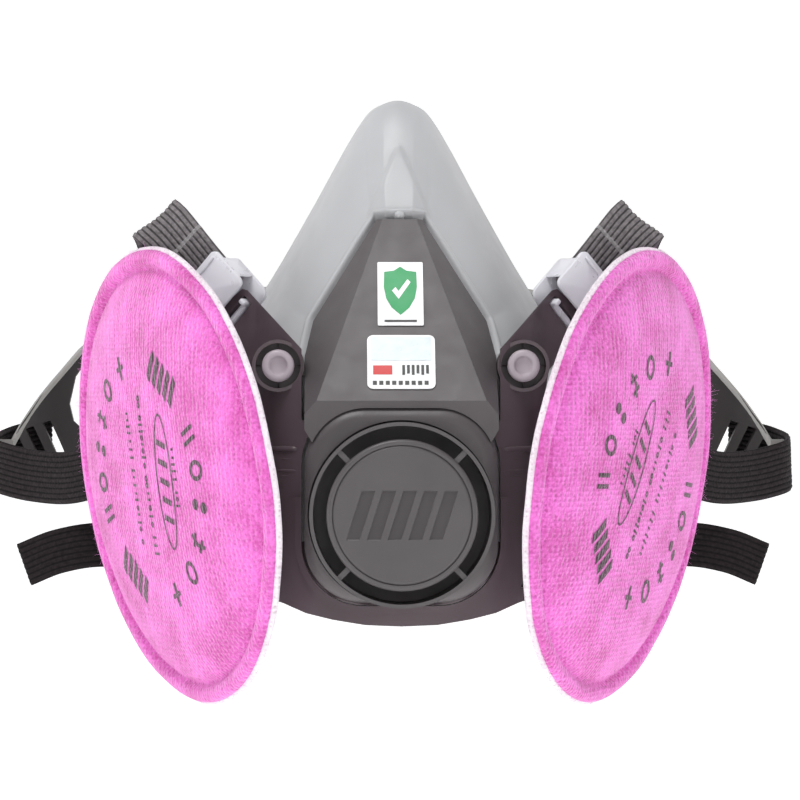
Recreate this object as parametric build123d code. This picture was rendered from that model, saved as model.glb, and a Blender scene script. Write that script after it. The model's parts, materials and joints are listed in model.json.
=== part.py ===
from build123d import *
from math import cos, radians, sin
import os

# Elastomeric half-face respirator with two round particulate filters.
# Frame: +Y points into the wearer's face, +Z up, +X to the right seen from the front.
# The origin is the middle of the opening that seals against the face. Millimetres.

# ---------------------------------------------------------------- driving dimensions
FILTER_DIA = 105.0
FILTER_CENTRE = (51.2, -30.1, -20.0)
FILTER_AZIMUTH = 63.6            # how far each filter is turned outwards
FILTER_TILT = -8.0               # and how far it faces down
DOME_HEIGHT = 7.5
BACK_DEPTH = 7.0
PORT_BORE = 14.5
BOSS_RADIUS = 21.0
BOSS_FACE = -13.0                # heights along the filter axis, from the filter's rim

VALVE_Z = -27.5
VALVE_BORE = 15.5
COVER_FRONT = -75.0
COVER_RADIUS = 20.2
COVER_WALL = 0.8
COVER_DISC_RADIUS = 16.5

COLLAR_W, COLLAR_H, COLLAR_R = 42.6, 43.3, 13.0
COLLAR_Z = -25.4
COLLAR_ROUND = 3.5
COLLAR_FRONT, COLLAR_BACK = -68.0, -57.0

PANEL_LOW = (-68.0, -3.7)        # (y, z) of the sloped panel's lower and upper edges
PANEL_HIGH = (-40.0, 38.5)
PANEL_THICK = 2.2
SHELF_Y = -67.3                  # flat strip between the panel and the collar

SKIN = 2.2                       # elastomer wall
LIP_WIDTH = 9.0
LIP_THICK = 1.8
POST_X, POST_Z = 27.2, 5.1

YOKE_THICK = 2.4
ARM_WIDTH = 12.0
STRAP_W, STRAP_T = 13.0, 1.3
NECK_W = 11.0
CRADLE_T = 2.0

# Facepiece sections: y, top, half width, level of the widest point, bottom, bluntness
SECTIONS = [
    (-54.0, 7.0, 19.5, -20.0, -48.0, 1.0),
    (-42.0, 24.5, 30.0, -17.0, -51.0, 0.75),
    (-28.0, 48.0, 36.0, -15.0, -52.0, 0.4),
    (-12.0, 71.0, 43.0, -14.0, -51.0, 0.1),
    (10.0, 78.0, 49.5, -12.0, -48.0, 0.0),
]
# Half outlines on a unit scale, from the nose round to the chin
BLUNT = [(0, 1), (0.38, 0.97), (0.66, 0.77), (0.82, 0.42), (0.97, 0.05),
         (1, -0.3), (0.85, -0.78), (0.45, -0.97), (0, -1)]
SHARP = [(0, 1), (0.2, 0.89), (0.44, 0.65), (0.72, 0.40), (0.94, 0.1),
         (1, -0.25), (0.84, -0.74), (0.45, -0.95), (0, -1)]
# The line that seals on the face, seen from the side (y, z)
SEAL = [(-19, 84), (-16, 69), (-11, 50), (-4, 25), (2, 0), (5, -20), (1, -38), (-7, -52), (-12, -66)]


def axis_dir(side=1):
    a, e = radians(FILTER_AZIMUTH), radians(FILTER_TILT)
    return Vector(side * sin(a) * cos(e), -cos(a) * cos(e), sin(e))


FILTER_PLANE = Plane(origin=FILTER_CENTRE, x_dir=(cos(radians(FILTER_AZIMUTH)), sin(radians(FILTER_AZIMUTH)), 0),
                     z_dir=axis_dir())
VALVE_PLANE = Plane(origin=(0, 0, VALVE_Z), x_dir=(1, 0, 0), z_dir=(0, -1, 0))


def ring(plane, outer, inner, low, high):
    """A tube about a plane's axis, between two heights."""
    shape = Pos(0, 0, (low + high) / 2) * Cylinder(outer, high - low)
    if inner:
        shape -= Pos(0, 0, (low + high) / 2) * Cylinder(inner, high - low + 1)
    return plane * shape


def sector(plane, outer, inner, low, high, centre, span):
    """Part of a tube, `span` degrees wide about the angle `centre`."""
    reach = outer * 1.6
    corners = [(0, 0)] + [(reach * cos(radians(centre + f * span / 2)), reach * sin(radians(centre + f * span / 2)))
                          for f in (-1, 0, 1)]
    wedge = extrude(Pos(0, 0, low) * Polygon(*corners, align=None), high - low, dir=(0, 0, 1))
    tube = Pos(0, 0, (low + high) / 2) * (Cylinder(outer, high - low) - Cylinder(inner, high - low + 1))
    return plane * (tube & wedge)


def spun(plane, profile):
    """A solid of revolution from an (r, h) profile about a plane's axis."""
    return plane * revolve(Plane.XZ * make_face(Polyline(*profile, close=True)), Axis.Z)


# ---------------------------------------------------------------- facepiece
def outline(section, inset=0.0):
    y, top, half, level, bottom, blunt = section
    half, top, bottom = half - inset, top - 1.5 * inset, bottom + inset
    points = []
    for (bx, bz), (sx, sz) in zip(BLUNT, SHARP):
        x, z = blunt * bx + (1 - blunt) * sx, blunt * bz + (1 - blunt) * sz
        points.append((half * x, level + z * (top - level if z > 0 else level - bottom)))
    points += [(-x, z) for x, z in points[-2:0:-1]]
    edge = Spline(*[Vector(x, y, z) for x, z in points], periodic=True)
    return make_face(edge)


def body_loft(inset=0.0, front=0.0):
    faces = [outline(s, inset) for s in SECTIONS]
    if front:
        y, *rest = SECTIONS[0]
        faces[0] = outline((y + front, *rest), inset)
    return loft(faces)


def seal_prism(back, front=-90.0):
    """Everything between the plane y = front and the seal line moved by `back`."""
    line = [(y + back, z) for y, z in SEAL]
    side = Plane(origin=(-70, 0, 0), x_dir=(0, 1, 0), z_dir=(1, 0, 0))
    wire = [Line((front, line[-1][1]), (front, line[0][1])), Line((front, line[0][1]), line[0]),
            Spline(*line), Line(line[-1], (front, line[-1][1]))]
    return extrude(side * make_face(wire), 140, dir=(1, 0, 0))


def posts():
    shape = Part()
    for s in (-1, 1):
        plane = Plane(origin=(s * POST_X, 0, POST_Z), x_dir=(1, 0, 0), z_dir=(0, -1, 0))
        post = ring(plane, 2.2, 0, 20.0, 57.5) + ring(plane, 3.6, 0, 56.6, 58.8)
        shape += post - ring(plane, 1.9, 0, 58.0, 59.5)
    return shape


def facepiece():
    outer = body_loft()
    wall = (outer - body_loft(SKIN, SKIN)) & seal_prism(0)
    lip = (outer & (seal_prism(0) - seal_prism(-LIP_THICK))) - body_loft(LIP_WIDTH, SKIN)
    shape = wall + lip
    ports = Part()
    for s in (1, -1):
        boss = ring(FILTER_PLANE, BOSS_RADIUS, 0, BOSS_FACE - 4, BOSS_FACE)
        clear = ring(FILTER_PLANE, BOSS_RADIUS + 1, 0, BOSS_FACE, 30)
        bore = ring(FILTER_PLANE, PORT_BORE, 0, BOSS_FACE - 9, BOSS_FACE + 5)
        bore += ring(FILTER_PLANE, PORT_BORE + 3.2, 0, BOSS_FACE - 16, BOSS_FACE - 4.2)
        if s < 0:
            boss, clear, bore = (mirror(p, Plane.YZ) for p in (boss, clear, bore))
        shape = shape - clear + boss
        ports += bore
    shape -= ports
    shape -= ring(VALVE_PLANE, VALVE_BORE + 1, 0, 45, 60)
    return shape + (posts() - body_loft(SKIN, SKIN))


# ---------------------------------------------------------------- front shell and valve
PANEL_SLOPE = Vector(0, PANEL_HIGH[0] - PANEL_LOW[0], PANEL_HIGH[1] - PANEL_LOW[1]).normalized()
PANEL_PLANE = Plane(origin=(0, *PANEL_LOW), x_dir=(1, 0, 0), z_dir=Vector(1, 0, 0).cross(PANEL_SLOPE))
CREASE = [(4.2, -40.6, 37.6), (19.0, -68.0, -3.7)]
FACET_EDGE = (21.3, -58.5, 2.0)


def facet_plane(s):
    a, b, c = (Vector(s * x, y, z) for x, y, z in (*CREASE, FACET_EDGE))
    normal = (b - a).cross(c - a).normalized()
    return Plane(origin=a, z_dir=normal if normal.Y < 0 else -normal)


def under(plane, depth):
    """The half space that lies more than `depth` behind a plane."""
    return plane * Pos(0, 0, -depth - 100) * Box(300, 300, 200)


def panel_body(depth):
    half = [(5.2, 38.5), (19.5, 15.3), (21.3, 7.5), (21.3, -9), (19.5, -12), (16, -13.5)]
    front = Polygon(*half, *[(-x, z) for x, z in half[::-1]], align=None)
    plane = Plane(origin=(0, SHELF_Y + depth, 0), x_dir=(1, 0, 0), z_dir=(0, -1, 0))
    prism = extrude(plane * front, 58, dir=(0, 1, 0))
    shape = prism & under(PANEL_PLANE, depth)
    for s in (1, -1):
        shape = shape & under(facet_plane(s), depth)
    return shape


def front_shell():
    panel = panel_body(0) - panel_body(PANEL_THICK)
    plane = Plane(origin=(0, 0, COLLAR_Z), x_dir=(1, 0, 0), z_dir=(0, -1, 0))
    collar = extrude(plane * Pos(0, 0, -COLLAR_BACK) * RectangleRounded(COLLAR_W, COLLAR_H, COLLAR_R),
                     COLLAR_BACK - COLLAR_FRONT)
    collar = fillet(collar.edges().group_by(Axis.Y)[0], COLLAR_ROUND)
    collar -= ring(VALVE_PLANE, COVER_RADIUS + 0.4, 0, 60, 80)
    collar -= ring(VALVE_PLANE, VALVE_BORE, 0, 50, 80)
    keep_out = extrude(plane * Pos(0, 0, 40) * RectangleRounded(COLLAR_W - 1, COLLAR_H - 1, COLLAR_R), 60)
    return (panel - keep_out) + collar


def exhalation_seat():
    shape = ring(VALVE_PLANE, VALVE_BORE - 0.3, 12.5, 49, 60.4)
    for k in range(3):
        arm = VALVE_PLANE * Rot(0, 0, 120 * k) * Pos(6.5, 0, 57.5) * Box(13, 1.6, 1.6)
        shape += arm
    return shape + ring(VALVE_PLANE, 1.2, 0, 57, 64) + ring(VALVE_PLANE, 2.2, 0, 63.3, 64.2)


def exhalation_flap():
    return ring(VALVE_PLANE, 13.8, 1.6, 60.7, 61.3)


def valve_cover():
    front = -COVER_FRONT
    shape = ring(VALVE_PLANE, COVER_RADIUS, COVER_RADIUS - COVER_WALL, 62, front)
    disc = ring(VALVE_PLANE, COVER_DISC_RADIUS, 0, front - 1.6, front + 0.6)
    disc = fillet(disc.edges().group_by(Axis.Y)[0], 0.8)
    disc -= ring(VALVE_PLANE, COVER_DISC_RADIUS - 1.2, 0, front + 0.2, front + 1)
    shape += disc
    for k in range(4):
        spoke = Rot(0, 0, 45 + 90 * k) * Pos(COVER_DISC_RADIUS + 1.2, 0, front - 1.2) * Box(4.4, 1.2, 1.6)
        leg = Rot(0, 0, 45 + 90 * k) * Pos(COVER_DISC_RADIUS - 2.2, 0, front - 5.4) * Box(1.6, 5, 8.8)
        shape += VALVE_PLANE * (spoke + leg)
    return shape


def label(width, low, high, corner):
    slope = PANEL_SLOPE.Z
    length, middle = (high - low) / slope, ((high + low) / 2 - PANEL_LOW[1]) / slope
    return PANEL_PLANE * Pos(0, middle, 0.15) * extrude(RectangleRounded(width, length, corner), 0.2)


# ---------------------------------------------------------------- inhalation ports and filters
def inhalation_port():
    shape = ring(FILTER_PLANE, PORT_BORE - 0.3, 12.2, -19, -8.6)
    shape += ring(FILTER_PLANE, PORT_BORE + 2.6, 12.2, -18.8, -17.4)
    for k in range(3):
        shape += sector(FILTER_PLANE, 16.3, 12.2, -10, -8.6, 120 * k, 36)
        shape += FILTER_PLANE * Rot(0, 0, 120 * k + 60) * Pos(6.5, 0, -16.5) * Box(13, 1.4, 1.4)
    return shape + ring(FILTER_PLANE, 1.2, 0, -22.6, -15.9) + ring(FILTER_PLANE, 2.2, 0, -22.8, -22)


def inhalation_flap():
    return ring(FILTER_PLANE, 13.6, 1.6, -19.8, -19.2)


def port_gasket():
    return ring(FILTER_PLANE, 18.6, 14.8, BOSS_FACE + 0.02, BOSS_FACE + 1.2)


def filter_hub():
    shape = ring(FILTER_PLANE, 19.2, 16.7, -11.6, -6.0)
    shape += ring(FILTER_PLANE, 19.2, 12.5, -6.9, -6.0)
    for k in range(3):
        shape += sector(FILTER_PLANE, 17.5, 14.6, -11.6, -10.3, 120 * k, 36)
        shape += FILTER_PLANE * Rot(0, 0, 120 * k + 60) * Pos(19.6, 0, -9.3) * Box(2, 3, 4.2)
    return shape


def filter_media():
    r = FILTER_DIA / 2
    profile = [(0, 0.1), (r, 0.1), (r, 1.4), (r - 3.6, 1.7), (r - 4.2, 1.2), (r - 5.2, 1.4), (r - 7, 3.0),
               (r - 12, 5.0), (r - 24, 6.7), (r - 38, DOME_HEIGHT - 0.2), (0, DOME_HEIGHT)]
    return spun(FILTER_PLANE, profile)


def filter_backing():
    r = FILTER_DIA / 2
    profile = [(20.0, 0), (r, 0), (r, -1.0), (r - 9, -1.3), (r - 13, -2.4), (r - 18, -4.6),
               (r - 26, -BACK_DEPTH + 0.2), (20.0, -BACK_DEPTH)]
    inner = ring(FILTER_PLANE, 19.4, 0, -5.9, 0)
    return spun(FILTER_PLANE, profile) + inner + ring(FILTER_PLANE, 20.5, 0, -5.9, 0)


# ---------------------------------------------------------------- harness
YOKE_PLAN = [(44, -38.7), (41, -40.5), (38, -42.45), (35, -44.5), (32.4, -47.2), (29.2, -53),
             (21.6, -59.6), (0, -64.2)]
ARM_TIP = Vector(34.3, 0, 23.6)                       # inner corner of the arm's end
ARM_DIR = Vector(0.651, 0, 0.759)
ARM_SIDE = Vector(0.759, 0, -0.651)
BUCKLE_PLANE = Plane(origin=(36.6, -42.4, 16.7), x_dir=(0.605, 0.363, -0.707), z_dir=(0.514, -0.857, 0))
NECK_SLOT = (29.4, -38.9)
RIM_PROUD = 1.3


def plan_band(half_plan, thick, low, high):
    """A wall that follows a symmetric curve seen from above."""
    line = half_plan + [(-x, y) for x, y in half_plan[-2::-1]]
    outer = Spline(*line)
    steps = 4 * len(line)
    back = []
    for i in range(steps + 1):
        point, along = outer @ (i / steps), outer % (i / steps)
        back.append(point + Vector(-along.Y, along.X) * (thick if along.X > 0 else -thick))
    inner = Spline(*back)
    face = make_face([outer, inner, Line(outer @ 0, inner @ 0), Line(outer @ 1, inner @ 1)])
    return extrude(Pos(0, 0, low) * face, high - low, dir=(0, 0, 1))


def front_prism(points, depth=260):
    """A front-view outline, given for the right half, drawn through the whole object."""
    line = points + [(-x, z) for x, z in points[::-1]]
    line = [p for i, p in enumerate(line) if i == 0 or p != line[i - 1]]
    plane = Plane(origin=(0, -depth / 2, 0), x_dir=(1, 0, 0), z_dir=(0, -1, 0))
    return extrude(plane * Polygon(*line, align=None), depth, dir=(0, 1, 0))


def yoke_outline():
    tip_out = ARM_TIP + ARM_SIDE * ARM_WIDTH
    shoulder = tip_out - ARM_DIR * 15
    return [(0, -52.3), (8, -52.0), (15.2, -50.9), (21, -49.6), (26, -47.6), (31, -46.2),
            (33.2, -42.5), (33.2, -31), (31.2, -27),
            (31.2, -8), (shoulder.X, shoulder.Z), (tip_out.X, tip_out.Z - 1.5),
            (tip_out.X - 1.1, tip_out.Z + 1.0), (ARM_TIP.X + 1.2, ARM_TIP.Z - 1.0), (ARM_TIP.X, ARM_TIP.Z - 1.4),
            (22.0, 8.8), (22.0, -3.0), (0, -3.0)]


def chin_rim(window):
    """Raised edge that follows the lower half of the yoke's window."""
    plan = [(x, y - RIM_PROUD) for x, y in YOKE_PLAN]
    plane = Plane(origin=(0, 0, COLLAR_Z), x_dir=(1, 0, 0), z_dir=(0, -1, 0))
    wide = RectangleRounded(COLLAR_W + 4.4, COLLAR_H + 4.4, COLLAR_R + 2.2)
    tube = extrude(plane * Pos(0, 0, 30) * (wide - window), 60)
    return plan_band(plan, RIM_PROUD + 0.6, -60, -24) & tube


def harness_yoke():
    band = plan_band(YOKE_PLAN, YOKE_THICK, -60, 40)
    shape = band & front_prism(yoke_outline())
    plane = Plane(origin=(0, 0, COLLAR_Z), x_dir=(1, 0, 0), z_dir=(0, -1, 0))
    window = RectangleRounded(COLLAR_W + 1.4, COLLAR_H + 1.4, COLLAR_R + 0.7)
    shape -= extrude(plane * Pos(0, 0, 30) * window, 60)
    shape -= Pos(0, -60, 18) * Box(COLLAR_W + 1.4, 60, 50)
    shape += chin_rim(window)
    for s in (1, -1):
        plane = Plane(origin=(s * POST_X, 0, POST_Z), x_dir=(1, 0, 0), z_dir=(0, -1, 0))
        boss = ring(plane, 5.8, 0, 48.2, 58.0)
        shape = shape + boss - ring(plane, 5.0, 0, 53.5, 60) - ring(plane, 2.8, 0, 40, 60)
        slot = BUCKLE_PLANE * Box(9.6, 2.6, 14)
        neck = Pos(NECK_SLOT[0], -45, NECK_SLOT[1]) * Rot(0, 15, 0) * Box(2.4, 30, 11.6)
        for cut in (slot, neck):
            shape -= cut if s > 0 else mirror(cut, Plane.YZ)
    return shape


def buckle():
    web = Rot(0, 90, 0) * Cylinder(0.9, 9.0)
    for s in (1, -1):
        web += Pos(s * 3.9, 0, 0) * Box(1.2, 1.8, 6.4)
    plates = Part()
    for s in (1, -1):
        plate = Pos(-0.3, 6.3, s * 3.0) * Box(14.8, 14.4, 1.2)
        plate -= Pos(-0.3, 7.6, s * 3.0) * Box(11, 2.2, 2)
        plates += plate
        plates += Pos(s * 7.1 - 0.3, 9.6, 0) * Box(0.6, 7.8, 6.2)
    rod = Pos(-0.3, 12.3, 1.3) * Rot(0, 90, 0) * Cylinder(0.9, 14.4)
    return BUCKLE_PLANE * (web + plates + rod)


def ribbon(stations, width, thick):
    """A flat strap through stations of (centre, width direction)."""
    faces = []
    for i, (point, across) in enumerate(stations):
        here = Vector(*point)
        before = Vector(*stations[max(i - 1, 0)][0])
        after = Vector(*stations[min(i + 1, len(stations) - 1)][0])
        along = (after - before).normalized()
        side = Vector(*across)
        side = (side - along * side.dot(along)).normalized()
        plane = Plane(origin=here, x_dir=side, z_dir=along)
        faces.append(plane * Rectangle(width, thick))
    return loft(faces, ruled=True)


def buckle_point(v, w):
    return tuple(BUCKLE_PLANE.from_local_coords(Vector(0, v, w)))


UPPER_ROUTE = [
    (buckle_point(5.5, -1.3), (0.605, 0.363, -0.707)),
    (buckle_point(14.0, -1.3), (0.605, 0.363, -0.707)),
    (buckle_point(22.0, -1.4), (0.66, 0.3, -0.68)),
    (buckle_point(28.5, -1.2), (0.78, 0.2, -0.6)),
    ((55.6, -29.2, 38.6), (0.8, 0.1, -0.57)),
    ((54.8, -24.6, 36.5), (0.8, 0.0, -0.57)),
    ((52.6, -17.5, 29.0), (0.75, -0.1, -0.6)),
    ((51.0, -9.5, 19.0), (0.6, 0.0, -0.75)),
    ((52.0, -1.0, 8.0), (0.4, 0.0, -0.9)),
    ((58.0, 12.0, -7.0), (0.15, -0.1, -0.95)),
    ((68.0, 23.0, -17.0), (0, 0, -1)),
    ((79.0, 33.0, -21.5), (0, 0, -1)),
    ((90.0, 44.0, -21.5), (0, 0, -1)),
    ((99.2, 51.4, -19.5), (0.03, 0, -1)),
    ((101.0, 57.0, -18.0), (0.03, 0, -1)),
    ((100.8, 61.5, -17.2), (0.05, 0, -1)),
    ((100.0, 66.5, -16.5), (0.1, 0, -1)),
    ((98.0, 72.5, -15.5), (0.15, 0, -1)),
    ((94.6, 79.5, -14.6), (0.15, 0, -1)),
    ((89.5, 87.2, -13.6), (0.15, 0, -1)),
]
NECK_ROUTE = [
    ((29.4, -51.0, -38.9), (0.26, 0, 0.966)),
    ((29.4, -44.5, -39.0), (0.26, 0, 0.966)),
    ((32.5, -38.5, -41.0), (0.26, 0, 0.95)),
    ((34.6, -30.0, -43.0), (0.2, 0, 0.97)),
    ((39.9, -20.3, -43.7), (0.1, 0, 1)),
    ((45.0, -4.0, -43.0), (0, 0, 1)),
    ((50.0, 14.0, -43.0), (0, 0, 1)),
    ((47.0, 32.0, -44.5), (0, 0, 1)),
    ((36.0, 46.0, -46.5), (0, 0, 1)),
    ((18.5, 53.0, -48.0), (0, 0, 1)),
]
FOLD_ROUTE = [
    ((17.0, 52.95, -48.2), (0, 0, 1)),
    ((15.9, 53.3, -48.3), (0, 0, 1)),
    ((15.6, 54.3, -48.3), (0, 0, 1)),
    ((15.6, 55.5, -48.3), (0, 0, 1)),
    ((15.9, 56.5, -48.3), (0, 0, 1)),
    ((17.0, 56.85, -48.2), (0, 0, 1)),
]
TAIL_ROUTE = [
    ((18.5, 57.0, -48.0), (0, 0, 1)),
    ((40.0, 53.0, -45.0), (0, 0, 1)),
    ((58.0, 44.0, -40.5), (0, 0, 1)),
    ((72.0, 38.0, -38.5), (0, 0.1, 1)),
    ((83.0, 37.0, -40.0), (0.1, 0.1, 1)),
    ((92.0, 39.0, -43.5), (0.2, 0.1, 1)),
]


def upper_strap():
    return ribbon(UPPER_ROUTE, STRAP_W, STRAP_T)


def neck_strap():
    return ribbon(NECK_ROUTE + FOLD_ROUTE + TAIL_ROUTE, NECK_W, STRAP_T)


def neck_fastener(hooked):
    """Slotted plate on the end of a neck strap, with a hook or an eye at the middle."""
    shape = Pos(12, 54.9, -48.3) * Box(11.5, 2.2, 15)
    shape -= Pos(15.6, 54.9, -48.3) * Box(1.8, 4, 12)
    if hooked:
        shape += Pos(1.8, 54.9, -48.3) * Box(9.9, 2.2, 6)
        return shape + Pos(-2.35, 57.4, -48.3) * Box(1.5, 3.0, 6)
    shape += Pos(3.6, 57.6, -48.3) * Box(6.4, 1.8, 11) + Pos(7.0, 56.2, -48.3) * Box(1.6, 4.4, 11)
    return shape - Pos(2.4, 57.0, -48.3) * Box(2.8, 6, 7)


CRADLE_PLAN = [(97.3, 58), (95.0, 70), (86.6, 85), (59, 103), (0, 115)]
CRADLE_EDGE = [(0, -12), (40, -14), (75, -18.5), (88, -24), (97.5, -24.5), (99.5, -19), (98.3, -16), (95.4, -8.6),
               (91.4, -1.7), (85.5, 6.1), (79.8, 12.6), (60, 22), (30, 28), (0, 30)]
CRADLE_HOLE = [(0, -4), (40, -6), (70, -10), (80, -11.5), (83.5, -8), (84.5, -3.5), (83, 3.7), (80.1, 8.1),
               (72, 12), (50, 17.5), (25, 20.5), (0, 21.5)]


def head_cradle():
    band = plan_band(CRADLE_PLAN, CRADLE_T, -40, 50)
    shape = (band & front_prism(CRADLE_EDGE)) - front_prism(CRADLE_HOLE)
    for s in (1, -1):
        for x, z in ((95.6, -15.5), (92.0, -14.0), (88.2, -12.5)):
            cut = Pos(x, 75, z) * Rot(0, 22, 0) * Box(1.9, 60, 9.5)
            shape -= cut if s > 0 else mirror(cut, Plane.YZ)
    return shape


def strap_keeper():
    """C-shaped clip pressed over the cradle's front edge."""
    clip = Box(3.4, 3.6, 13) - Pos(0, 1, 0) * Box(2.6, 3.6, 14)
    return Pos(98.1, 58.2, -19.0) * clip


# ---------------------------------------------------------------- assembly
def build():
    nodes = {
        "facepiece": facepiece(),
        "front_shell": front_shell(),
        "exhalation_seat": exhalation_seat(),
        "exhalation_flap": exhalation_flap(),
        "valve_cover": valve_cover(),
        "label_upper": label(10.2, 13.9, 28.3, 0.3),
        "label_lower": label(15.0, -0.2, 11.7, 1.4),
        "harness_yoke": harness_yoke(),
        "head_cradle": head_cradle(),
        "neck_hook": mirror(neck_fastener(True), Plane.YZ),
        "neck_eye": neck_fastener(False),
    }
    pairs = {
        "inhalation_port": inhalation_port, "inhalation_flap": inhalation_flap, "port_gasket": port_gasket,
        "filter_hub": filter_hub, "filter_media": filter_media, "filter_backing": filter_backing,
        "buckle": buckle, "upper_strap": upper_strap, "neck_strap": neck_strap, "strap_keeper": strap_keeper,
    }
    for name, make in pairs.items():
        right = make()
        nodes[name + "_right"] = right
        nodes[name + "_left"] = mirror(right, Plane.YZ)
    return nodes


os.makedirs("parts", exist_ok=True)
for node, shape in build().items():
    export_step(shape, f"parts/{node}.step")
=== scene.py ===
import json
import random
from math import atan2, cos, pi, radians, sin, sqrt

import bmesh
import bpy
import numpy as np
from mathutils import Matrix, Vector, noise


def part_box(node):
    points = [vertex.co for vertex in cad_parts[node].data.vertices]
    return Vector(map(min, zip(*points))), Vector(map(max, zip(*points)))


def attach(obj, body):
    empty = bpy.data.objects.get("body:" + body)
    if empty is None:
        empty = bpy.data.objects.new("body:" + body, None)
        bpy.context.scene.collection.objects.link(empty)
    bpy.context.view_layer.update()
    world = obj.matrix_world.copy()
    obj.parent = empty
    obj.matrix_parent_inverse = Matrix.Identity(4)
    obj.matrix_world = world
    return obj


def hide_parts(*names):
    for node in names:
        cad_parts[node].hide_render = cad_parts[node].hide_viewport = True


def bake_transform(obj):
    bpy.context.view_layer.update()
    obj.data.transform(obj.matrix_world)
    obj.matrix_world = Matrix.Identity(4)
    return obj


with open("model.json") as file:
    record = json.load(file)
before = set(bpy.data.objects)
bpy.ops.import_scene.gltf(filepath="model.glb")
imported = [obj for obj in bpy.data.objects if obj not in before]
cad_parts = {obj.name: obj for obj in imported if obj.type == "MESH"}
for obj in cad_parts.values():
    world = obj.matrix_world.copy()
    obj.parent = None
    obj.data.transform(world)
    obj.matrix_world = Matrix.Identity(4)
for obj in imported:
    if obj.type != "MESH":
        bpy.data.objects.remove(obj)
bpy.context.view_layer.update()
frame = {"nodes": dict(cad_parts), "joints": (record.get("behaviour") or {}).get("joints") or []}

MM = 0.001

JOINTS = {j["name"]: j for j in frame["joints"]}


# ---------------------------------------------------------------- places taken from the frame
def joint_point(name):
    return Vector(JOINTS[name]["pos_m"]) / MM


FILTER_C = joint_point("filter_twist_right")
FILTER_N = Vector(JOINTS["filter_twist_right"]["axis"]).normalized()
FILTER_U = Vector((0, 0, 1)).cross(FILTER_N).normalized()
FILTER_V = FILTER_N.cross(FILTER_U)


# ---------------------------------------------------------------- mesh helpers (millimetres in, metres out)
def mesh_object(name, points, faces, material, smooth=True):
    data = bpy.data.meshes.new(name)
    data.from_pydata([tuple(Vector(p) * MM) for p in points], [], faces)
    data.validate()
    data.materials.append(material)
    data.polygons.foreach_set("use_smooth", [smooth] * len(data.polygons))
    piece = bpy.data.objects.new(name, data)
    bpy.context.scene.collection.objects.link(piece)
    return piece


def face_outwards(piece):
    bm = bmesh.new()
    bm.from_mesh(piece.data)
    bmesh.ops.recalc_face_normals(bm, faces=bm.faces)
    bm.to_mesh(piece.data)
    bm.free()
    return piece


def mirrored(points):
    return [(-p[0], p[1], p[2]) for p in points]


def grid(rows, wrap=True):
    """Quads between rows of equally many points; wrap joins each row's end to its start."""
    points = [p for row in rows for p in row]
    n = len(rows[0])
    faces = []
    for j in range(len(rows) - 1):
        for i in range(n if wrap else n - 1):
            k = (i + 1) % n
            faces.append((j * n + i, j * n + k, (j + 1) * n + k, (j + 1) * n + i))
    return points, faces


def spun(profile, origin, u, v, n, segments=96, wobble=None):
    """Rows of a surface of revolution from an (r, h) profile."""
    rows = []
    for r, h in profile:
        row = []
        for i in range(segments):
            a = 2 * pi * i / segments
            dr, dh = wobble(r, a) if wobble else (0, 0)
            row.append(origin + u * (cos(a) * (r + dr)) + v * (sin(a) * (r + dr)) + n * (h + dh))
        rows.append(row)
    return rows


def smooth_path(points, step):
    """Catmull-Rom curve through points of any dimension, sampled about every `step`."""
    p = np.array(points, float)
    p = np.vstack([2 * p[0] - p[1], p, 2 * p[-1] - p[-2]])
    out = []
    for i in range(1, len(p) - 2):
        a, b, c, d = p[i - 1:i + 3]
        count = max(2, int(np.linalg.norm((c - b)[:3]) / step))
        for t in np.arange(count) / count:
            out.append(0.5 * (2 * b + (c - a) * t + (2 * a - 5 * b + 4 * c - d) * t * t
                              + (3 * b - a - 3 * c + d) * t ** 3))
    out.append(p[-2])
    return np.array(out)


def modifier(piece, kind, **values):
    m = piece.modifiers.new(kind.title(), kind)
    for key, value in values.items():
        setattr(m, key, value)
    return m


# ---------------------------------------------------------------- materials
def new_material(name, color, roughness):
    material = bpy.data.materials.new(name)
    material.use_nodes = True
    shader = material.node_tree.nodes["Principled BSDF"]
    shader.inputs["Base Color"].default_value = (*color, 1)
    shader.inputs["Roughness"].default_value = roughness
    return material, shader


def add(material, kind, links=None, **inputs):
    """Adds a node; links maps its input names to the sockets that feed them."""
    tree = material.node_tree
    node = tree.nodes.new(kind)
    for key, value in inputs.items():
        if key in node.inputs:
            node.inputs[key].default_value = value
        else:
            setattr(node, key, value)
    for key, socket in (links or {}).items():
        tree.links.new(socket, node.inputs[key])
    return node


def place(material, scale=(1, 1, 1)):
    coords = add(material, "ShaderNodeTexCoord")
    mapping = add(material, "ShaderNodeMapping", {"Vector": coords.outputs["Object"]})
    mapping.inputs["Scale"].default_value = scale
    return mapping.outputs["Vector"]


def noise_tex(material, scale, detail=3.0, vector=None):
    vector = vector or place(material)
    node = add(material, "ShaderNodeTexNoise", {"Vector": vector})
    node.inputs["Scale"].default_value = scale
    node.inputs["Detail"].default_value = detail
    return node.outputs["Fac"]


def ramp(material, fac, stops):
    node = add(material, "ShaderNodeValToRGB", {"Fac": fac})
    elements = node.color_ramp.elements
    while len(elements) < len(stops):
        elements.new(0.5)
    for element, (position, color) in zip(elements, stops):
        element.position = position
        element.color = (*color, 1)
    return node.outputs["Color"]


def bump(material, shader, height, strength, distance):
    node = add(material, "ShaderNodeBump", {"Height": height})
    node.inputs["Strength"].default_value = strength
    node.inputs["Distance"].default_value = distance
    before = shader.inputs["Normal"].links
    if before:
        material.node_tree.links.new(before[0].from_socket, node.inputs["Normal"])
    material.node_tree.links.new(node.outputs["Normal"], shader.inputs["Normal"])


def tint(color, k):
    return tuple(min(1, c * k) for c in color)


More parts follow.
